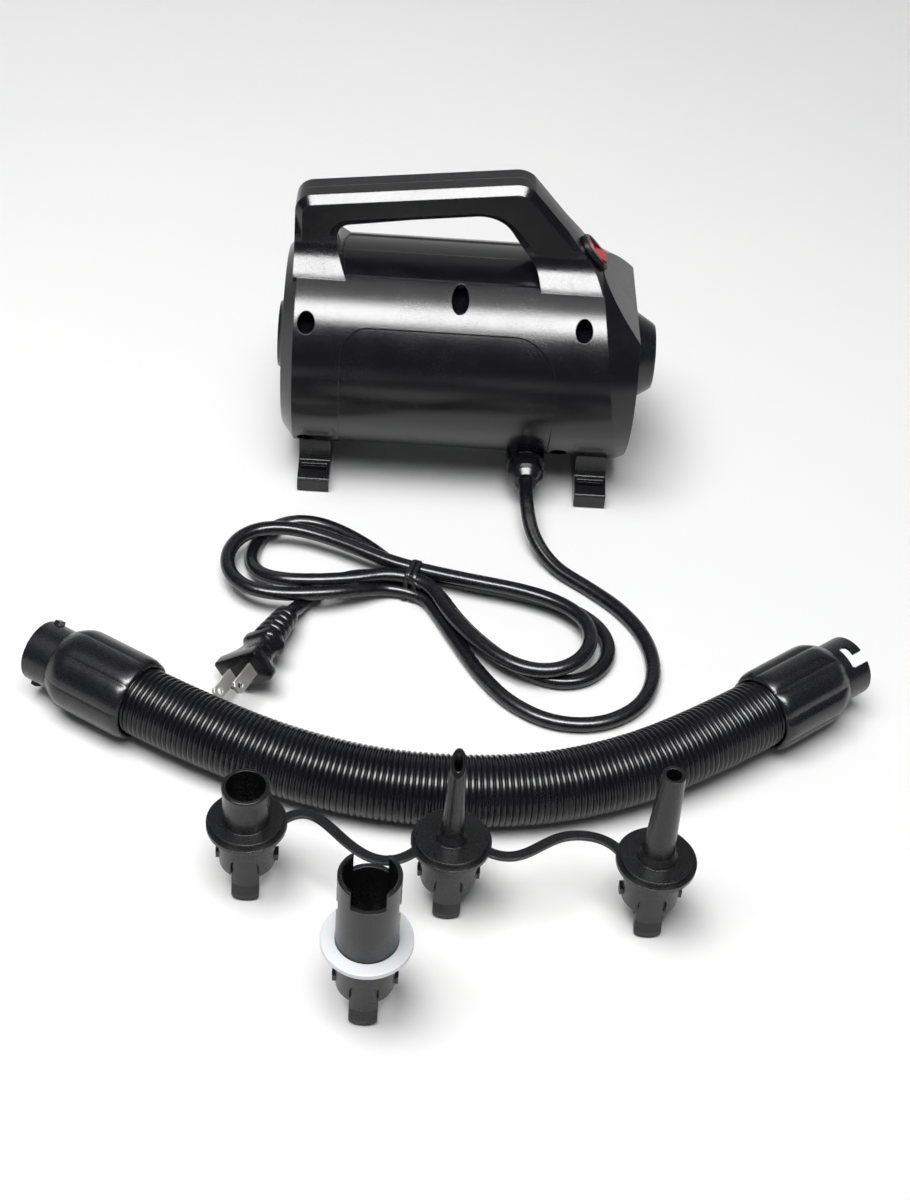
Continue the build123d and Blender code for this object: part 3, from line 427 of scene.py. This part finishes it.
def plug_sleeve():
    """The plug's tapered relief: soft folds, each a little wider than the one before."""
    mesh = bmesh.new()
    rings = []
    folds = 5
    length = 21.6
    lead_in = 1.2             # the short cone between the lead and the first fold
    steps = 90
    for index in range(steps + 1):
        x = -lead_in + (length + lead_in) * index / steps
        share = max(x, 0.0) / length
        core = 4.8 + 2.0 * share
        place = x / (length / folds)
        crest = abs(math.sin(math.pi * place)) ** 0.5 if x > 0 else 0.0
        radius = core + 0.85 * crest
        if x < 0:
            radius = 3.4 + 1.4 * (x + lead_in) / lead_in
        rings.append([spot * MM for spot in ring_round_x(x, lambda angle, r=radius: r, 40)])
    add_rings(mesh, rings)
    bmesh.ops.transform(mesh, matrix=at_plug, verts=mesh.verts)
    return finished_mesh("plug_sleeve", mesh, 50)


def plug_grip():
    """The plug's moulding: a collar, a waist, and a block that flares to square corners."""
    mesh = bmesh.new()
    sections = [
        (20.8, 15.4, 12.6, 4.6), (21.1, 17.0, 13.0, 4.4), (21.8, 18.8, 13.7, 4.2),
        (22.6, 19.4, 14.0, 4.0), (25.0, 19.3, 13.9, 4.0), (25.9, 18.4, 13.2, 3.8),
        (26.8, 16.0, 11.8, 3.6), (28.2, 15.0, 11.2, 3.4), (31.5, 15.6, 11.4, 3.2),
        (34.5, 18.4, 12.5, 3.0), (37.5, 22.2, 14.2, 2.6), (39.0, 24.4, 15.2, 2.3),
        (40.2, 25.7, 15.9, 2.1), (44.2, 26.0, 16.0, 2.0), (44.8, 25.6, 15.6, 1.8),
        (45.0, 24.6, 14.6, 1.6),
    ]
    rings = []
    for x, width, depth, corner in sections:
        rings.append([place * MM for place in rounded_section(x, width, depth, corner)])
    add_rings(mesh, rings)
    bmesh.ops.transform(mesh, matrix=at_plug, verts=mesh.verts)
    return finished_mesh("plug_grip", mesh, 32)


wire_tie = lead_tie()
sleeve = plug_sleeve()
grip = plug_grip()
for piece, body in ((lead, "pump"), (wire_tie, "pump"), (sleeve, "pump"), (grip, "pump")):
    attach(piece, body)
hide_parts("cord_lead", "cord_hank", "cord_tail")
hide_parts("cord_tie")
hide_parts("plug_relief")
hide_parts("plug_body")


# ---- the hose --------------------------------------------------------------------------------
hose_line = nurbs("hose_line", HOSE_ROUTE)
hose_path, hose_reach = drawn_line(hose_line)
bpy.data.objects.remove(hose_line)


def hose_ring(distance, radius, around=56):
    """A ring of points round the hose's line, at a distance along it."""
    here, ahead = along_line(hose_path, hose_reach, distance)
    side = ahead.cross(Vector((0, 0, 1))).normalized()
    up = side.cross(ahead)
    return [here + radius * (math.cos(2 * math.pi * k / around) * side
                             + math.sin(2 * math.pi * k / around) * up)
            for k in range(around)]


def corrugated_hose():
    """The hose wall: close rounded ribs outside and a plain bore inside."""
    mesh = bmesh.new()
    length = hose_reach[-1]
    ribs = round(length / RIB_PITCH)
    rib_steps = 8
    bore_steps = 40
    bore_radius = 0.012
    groove = 0.0008
    rings = []
    for index in range(ribs * rib_steps + 1):
        share = index / rib_steps
        valley = abs(2 * (share % 1.0) - 1) ** 2.4
        radius = HOSE_D / 2 - groove * valley
        rings.append(hose_ring(length * index / (ribs * rib_steps), radius))
    for index in range(bore_steps, -1, -1):
        rings.append(hose_ring(length * index / bore_steps, bore_radius))
    add_rings(mesh, rings, loop=True)
    return finished_mesh("hose_wall", mesh, 70)


def hose_end(first):
    """The matrix that takes a cuff made along +X, open end out, to one end of the hose."""
    end = Vector(HOSE_ROUTE[0] if first else HOSE_ROUTE[-1])
    inner = Vector(HOSE_ROUTE[1] if first else HOSE_ROUTE[-2])
    heading = math.atan2(end.y - inner.y, end.x - inner.x)
    return Matrix.Translation(end) @ Matrix.Rotation(heading, 4, "Z")


def hose_cuff(name, first, relief, crown, spigot_open):
    """A cuff: a grip of eight lengthwise lobes, a sloping shoulder and a hollow spigot."""
    mesh = bmesh.new()
    around = 288
    outline = [(-20.0, 16.2), (-20.0, 17.0), (-19.8, 17.5), (-19.3, 18.0), (-18.4, 18.45),
               (-17.0, 18.8), (-15.0, 18.97), (-12.0, 19.0), (-6.0, 19.0), (0.0, 19.0),
               (6.0, 19.0), (11.0, 19.0), (13.0, 18.95), (14.6, 18.75), (16.0, 18.35),
               (17.4, 17.75), (18.8, 17.0), (20.2, 16.2), (21.3, 15.5), (21.9, 15.0),
               (22.0, 14.6), (22.0, 12.5), (0.1, 12.5), (0.1, 16.2)]
    rings = []
    for index, (x, radius) in enumerate(outline):
        depth = 0.0
        if 0 < index < 18:
            depth = relief * (0.55 + 0.45 * ease(x, -20.0, -16.0)) * (1 - ease(x, 14.5, 19.5))

        def radius_at(angle, r=radius, d=depth):
            place = ((angle - CUFF_TURN) * CUFF_LOBES / (2 * math.pi)) % 1.0
            edge = abs(place - 0.5) * 2
            return (r - d * edge ** crown) * MM
        rings.append(ring_round_x(x * MM, radius_at, around))
    add_rings(mesh, rings, loop=True)
    add_cut_sleeve(mesh, SPIGOT_R * MM, SPIGOT_WALL * MM, 21.5 * MM, 36.0 * MM, 58, 240,
                   spigot_open)
    if first:
        for turn in (LUG_TURN, LUG_TURN + math.pi):
            lug = []
            for x, lift in ((30.8, 0.0), (31.2, 1.6), (33.8, 1.6), (34.2, 0.0)):
                ring = []
                top = SPIGOT_R + lift
                for y, z in ((-2.4, 13.2), (2.4, 13.2), (2.1, top), (-2.1, top)):
                    ring.append(Matrix.Rotation(turn, 3, "X") @ Vector((x, y, z)) * MM)
                lug.append(ring)
            add_rings(mesh, lug)
    bmesh.ops.transform(mesh, matrix=hose_end(first), verts=mesh.verts)
    return soften_edges(finished_mesh(name, mesh, 40), 0.0002)


def open_nowhere(x, angle):
    """The pump's spigot is a whole sleeve."""
    return False


def bayonet_slot(x, angle):
    """The nozzle spigot's two J-shaped slots, open at the tip."""
    leg_x = 29.15             # middle of the leg that runs round the spigot
    leg_half = 2.25
    leg_end = -6.9
    entry_half = 2.9
    for middle in SLOT_TURNS:
        turn = (math.degrees(angle) - middle + 180) % 360 - 180
        along = x / MM - leg_x
        around = math.radians(turn) * SPIGOT_R
        if abs(around) < entry_half and along > 0:
            return True
        if leg_end < around < 0.8 and abs(along) < leg_half:
            return True
        for rounded in (leg_end, 0.7):
            if math.hypot(along, around - rounded) < leg_half:
                return True
    return False


hose = corrugated_hose()
pump_cuff = hose_cuff("pump_end_cuff", True, 0.55, 5, open_nowhere)
nozzle_cuff = hose_cuff("nozzle_end_cuff", False, 1.5, 3, bayonet_slot)
for piece in (hose, pump_cuff, nozzle_cuff):
    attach(piece, "hose")
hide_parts("hose_tube")
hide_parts("hose_pump_cuff")
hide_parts("hose_nozzle_cuff")


# ---- the brush springs ----------------------------------------------------------------------------
def brush_spring(node):
    """A wound spring behind a brush."""
    low, high = (Vector(corner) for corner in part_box(node))
    wire = 0.00045            # the wire's radius
    coil = (high.x - low.x) / 2 - wire
    turns = 6
    steps = turns * 28
    mesh = bmesh.new()
    rings = []
    for index in range(steps + 1):
        angle = 2 * math.pi * turns * index / steps
        out = Vector((math.cos(angle), math.sin(angle), 0))
        rise = low.z + wire + (high.z - low.z - 2 * wire) * index / steps
        centre = Vector(((low.x + high.x) / 2, (low.y + high.y) / 2, rise)) + coil * out
        ring = []
        for corner in range(10):
            turn = 2 * math.pi * corner / 10
            ring.append(centre + wire * (math.cos(turn) * out
                                         + math.sin(turn) * Vector((0, 0, 1))))
        rings.append(ring)
    add_rings(mesh, rings)
    spring = finished_mesh(node + "_coil", mesh, 50)
    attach(spring, "pump")
    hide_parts(node)
    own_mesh(spring)
    return spring


springs = [brush_spring("upper_brush_spring"),
           brush_spring("lower_brush_spring")]


# ---- materials ----------------------------------------------------------------------------------
class Nodes:
    """A material's node tree, with a short way to add and join nodes."""

    def __init__(self, name):
        self.material = bpy.data.materials.new(name)
        self.material.use_nodes = True
        self.tree = self.material.node_tree
        self.shader = self.tree.nodes["Principled BSDF"]

    def add(self, kind, settings=None, **inputs):
        """A node; settings are its properties and inputs its sockets, by name with _ for space."""
        node = self.tree.nodes.new(kind)
        for key, value in (settings or {}).items():
            setattr(node, key, value)
        for key, value in inputs.items():
            self.put(node.inputs[key.replace("_", " ")], value)
        return node

    def put(self, socket, value):
        """Joins an output to a socket, or sets the socket's value."""
        if isinstance(value, bpy.types.NodeSocket):
            self.tree.links.new(value, socket)
        else:
            socket.default_value = value

    def noise(self, scale, stretch=(1, 1, 1), detail=3.0, rough=0.5):
        """Noise fixed to the piece, in the row frame."""
        place = self.add("ShaderNodeTexCoord").outputs["Object"]
        mapped = self.add("ShaderNodeMapping", Vector=place, Scale=stretch)
        texture = self.add("ShaderNodeTexNoise", Vector=mapped.outputs["Vector"], Scale=scale,
                           Detail=detail, Roughness=rough)
        return texture.outputs["Fac"]

    def spread(self, value, low, high, from_low=0.3, from_high=0.7):
        """Maps a value's range to low..high."""
        node = self.add("ShaderNodeMapRange", Value=value)
        self.put(node.inputs["From Min"], from_low)
        self.put(node.inputs["From Max"], from_high)
        self.put(node.inputs["To Min"], low)
        self.put(node.inputs["To Max"], high)
        return node.outputs["Result"]

    def blend_colours(self, share, first, second):
        """Mixes two colours."""
        node = self.add("ShaderNodeMix", {"data_type": "RGBA"})
        self.put(node.inputs["Factor"], share)
        self.put(node.inputs[6], first)
        self.put(node.inputs[7], second)
        return node.outputs[2]

    def maths(self, operation, first, second):
        """A sum, product or other operation on two values."""
        node = self.add("ShaderNodeMath", {"operation": operation})
        self.put(node.inputs[0], first)
        self.put(node.inputs[1], second)
        return node.outputs[0]


def colour(value, gain=1.0):
    """A colour with its alpha, made lighter or darker."""
    return (value[0] * gain, value[1] * gain, value[2] * gain, 1.0)


def surface(name, base, rough, grain=1500.0, bump=0.05, stretch=(1, 1, 1), mottle=0.15,
            edge=0.0004, wear=0.35, metal=0.0, specular=0.5, coat=0.0, extra=None):
    """A moulded or machined surface: fine grain, mottling, softened and slightly worn edges."""
    made = Nodes(name)
    shader = made.shader
    fine = made.noise(grain, stretch, 2.0)
    broad = made.noise(35.0, (1, 1, 1), 4.0, 0.6)
    soft = made.add("ShaderNodeBevel", {"samples": 4}, Radius=edge)
    plain = made.add("ShaderNodeNewGeometry").outputs["Normal"]
    facing = made.add("ShaderNodeVectorMath", {"operation": "DOT_PRODUCT"})
    made.put(facing.inputs[0], soft.outputs["Normal"])
    made.put(facing.inputs[1], plain)
    edges = made.spread(facing.outputs["Value"], wear, 0.0, 0.80, 0.985)
    edges = made.maths("MULTIPLY", edges, made.spread(broad, 0.3, 1.0))
    tone = made.blend_colours(made.spread(broad, 0.0, 1.0), colour(base, 1 - mottle),
                              colour(base, 1 + mottle))
    lighter = (base[0] * 1.6 + 0.02, base[1] * 1.6 + 0.02, base[2] * 1.6 + 0.02, 1.0)
    tone = made.blend_colours(edges, tone, lighter)
    if extra:
        tone = extra(made, tone)
    made.put(shader.inputs["Base Color"], tone)
    dull = made.maths("ADD", made.spread(broad, rough - 0.04, rough + 0.04),
                      made.spread(fine, -0.05, 0.05))
    worn = made.maths("MULTIPLY", edges, 0.15)
    made.put(shader.inputs["Roughness"], made.maths("ADD", dull, worn))
    relief = made.add("ShaderNodeBump", Strength=bump, Distance=0.0005, Height=fine,
                      Normal=soft.outputs["Normal"])
    made.put(shader.inputs["Normal"], relief.outputs["Normal"])
    made.put(shader.inputs["Metallic"], metal)
    made.put(shader.inputs["Specular IOR Level"], specular)
    made.put(shader.inputs["Coat Weight"], coat)
    made.put(shader.inputs["Coat Roughness"], 0.08)
    return made.material


def stacked_sheets(made, tone):
    """Thin dark lines between the motor's stacked steel sheets."""
    place = made.add("ShaderNodeTexCoord").outputs["Object"]
    lines = made.add("ShaderNodeTexWave", {"bands_direction": "X"}, Vector=place, Scale=260.0,
                     Distortion=0.2)
    return made.blend_colours(made.spread(lines.outputs["Fac"], 0.0, 0.7, 0.0, 0.6),
                              (0.02, 0.02, 0.02, 1), tone)


def wound_wire(made, tone):
    """Varnished wire, turn beside turn."""
    place = made.add("ShaderNodeTexCoord").outputs["Object"]
    lines = made.add("ShaderNodeTexWave", {"bands_direction": "DIAGONAL"}, Vector=place,
                     Scale=300.0, Distortion=1.0, Detail=1.0)
    return made.blend_colours(made.spread(lines.outputs["Fac"], 0.0, 1.0, 0.1, 0.7),
                              (0.10, 0.025, 0.01, 1), tone)


BLACK = (0.0060, 0.0062, 0.0075)
finishes = {
    "casing": surface("casing", (0.0044, 0.0044, 0.0058), 0.22, grain=1900.0, bump=0.07,
                      stretch=(0.7, 1.0, 1.0), mottle=0.12, edge=0.0006),
    "fittings": surface("fittings", BLACK, 0.28, grain=1900.0, bump=0.06),
    "feet": surface("feet", BLACK, 0.24, grain=1900.0, bump=0.05, edge=0.0006),
    "rubber": surface("rubber", (0.012, 0.012, 0.012), 0.72, grain=2500.0, bump=0.25, wear=0.15),
    "screws": surface("screws", (0.36, 0.35, 0.34), 0.34, stretch=(1, 1, 6), metal=1.0),
    "bezel": surface("bezel", BLACK, 0.26, grain=1900.0, bump=0.05, edge=0.0003),
    "rocker": surface("rocker", (0.52, 0.014, 0.018), 0.22, grain=1600.0, bump=0.05, wear=0.2,
                      coat=0.4, edge=0.0004),
    "brass": surface("brass", (0.62, 0.42, 0.16), 0.32, metal=1.0, stretch=(6, 1, 1)),
    "laminations": surface("laminations", (0.30, 0.29, 0.28), 0.40, metal=1.0,
                           extra=stacked_sheets),
    "copper": surface("copper", (0.55, 0.17, 0.06), 0.28, metal=0.9, coat=0.5, extra=wound_wire),
    "brackets": surface("brackets", (0.020, 0.020, 0.021), 0.48, grain=1100.0, bump=0.12),
    "bronze": surface("bronze", (0.42, 0.24, 0.10), 0.42, metal=1.0, grain=2200.0, bump=0.18),
    "steel": surface("steel", (0.45, 0.45, 0.46), 0.26, metal=1.0, stretch=(8, 1, 1)),
    "fan": surface("fan", (0.55, 0.54, 0.50), 0.42, grain=1500.0, bump=0.08),
    "carbon": surface("carbon", (0.020, 0.020, 0.021), 0.55, grain=3000.0, bump=0.2),
    "suppressor": surface("suppressor", (0.42, 0.36, 0.05), 0.34, grain=900.0, bump=0.06),
    "lead": surface("lead", (0.0065, 0.0066, 0.0078), 0.24, grain=500.0, bump=0.10, edge=0.0002,
                    wear=0.1),
    "tie": surface("tie", (0.010, 0.010, 0.011), 0.30, grain=2000.0, bump=0.1, edge=0.0002),
    "blades": surface("blades", (0.80, 0.79, 0.77), 0.36, grain=900.0, stretch=(1, 6, 1),
                      metal=0.85, edge=0.0003),
    "hose": surface("hose", (0.0062, 0.0062, 0.0074), 0.22, grain=2200.0, bump=0.03,
                    edge=0.0002, wear=0.1, specular=0.32),
    "nozzles": surface("nozzles", (0.0066, 0.0068, 0.0076), 0.30, grain=2200.0, bump=0.04,
                       edge=0.0005),
    "gasket": surface("gasket", (0.74, 0.76, 0.78), 0.38, grain=900.0, bump=0.05, mottle=0.03,
                      wear=0.1),
}
gasket_shader = finishes["gasket"].node_tree.nodes["Principled BSDF"]
gasket_shader.inputs["Subsurface Weight"].default_value = 0.2
gasket_shader.inputs["Subsurface Scale"].default_value = 0.002


def paint(piece, name):
    """Gives a piece one finish all over."""
    piece.data.materials.clear()
    piece.data.materials.append(finishes[name])


for row in frame["record"]["subparts"]:
    node = nodes[row["node"]]
    node.data.materials.clear()
    node.data.materials.append(finishes[row["material_slot"]])
for piece, name in ((lead, "lead"), (wire_tie, "tie"), (sleeve, "lead"), (grip, "lead"),
                    (hose, "hose"), (pump_cuff, "fittings"), (nozzle_cuff, "fittings"),
                    (springs[0], "steel"), (springs[1], "steel")):
    paint(piece, name)


# ---- floor and light -----------------------------------------------------------------------------
def studio_floor():
    """A wide pale floor that curves up into a backdrop."""
    mesh = bmesh.new()
    profile = [(-2.5, 0.0), (0.9, 0.0), (1.25, 0.03), (1.5, 0.12), (1.7, 0.28), (1.8, 0.55),
               (1.84, 1.0), (1.85, 2.2)]
    rows = []
    for y, z in profile:
        rows.append([mesh.verts.new((x, y, z)) for x in (-2.6, -1.2, 0.0, 1.2, 2.6)])
    for first, second in zip(rows, rows[1:]):
        for index in range(len(first) - 1):
            mesh.faces.new((first[index], first[index + 1], second[index + 1], second[index]))
    floor = finished_mesh("studio_floor", mesh, 60)
    made = Nodes("studio_floor")
    tone = made.blend_colours(made.spread(made.noise(3.0), 0.0, 1.0), (0.86, 0.86, 0.86, 1),
                              (0.89, 0.885, 0.88, 1))
    made.put(made.shader.inputs["Base Color"], tone)
    made.put(made.shader.inputs["Roughness"], 0.85)
    made.put(made.shader.inputs["Specular IOR Level"], 0.1)
    floor.data.materials.append(made.material)
    return floor


def panel(name, place, target, size, brightness, gloss_only=False):
    """A rectangular soft light at place, turned to target, as bright as stated per square metre."""
    data = bpy.data.lights.new(name, "AREA")
    data.shape = "RECTANGLE"
    data.size = size[0]
    data.size_y = size[1]
    data.energy = brightness * math.pi * size[0] * size[1]
    light = link(name, data)
    light.location = place
    aim = Vector(target) - Vector(place)
    light.rotation_euler = aim.to_track_quat("-Z", "Y").to_euler()
    if gloss_only:
        light.visible_diffuse = False
        light.visible_transmission = False
    else:
        light.visible_glossy = False
    return light


studio_floor()
world = bpy.data.worlds.new("studio")
world.use_nodes = True
world.node_tree.nodes["Background"].inputs["Color"].default_value = (0.95, 0.97, 1.0, 1)
world.node_tree.nodes["Background"].inputs["Strength"].default_value = 0.10
scene.world = world
panel("key", (-0.25, -0.35, 1.7), (0.0, 0.0, 0.0), (1.4, 0.9), 9.5)
panel("bright_gloss", (0.0, -0.54, 1.35), (0.0, 0.05, 0.05), (1.5, 0.52), 25, True)
panel("wide_gloss", (0.0, -0.30, 1.55), (0.0, 0.16, 0.1), (2.0, 1.5), 1.3, True)
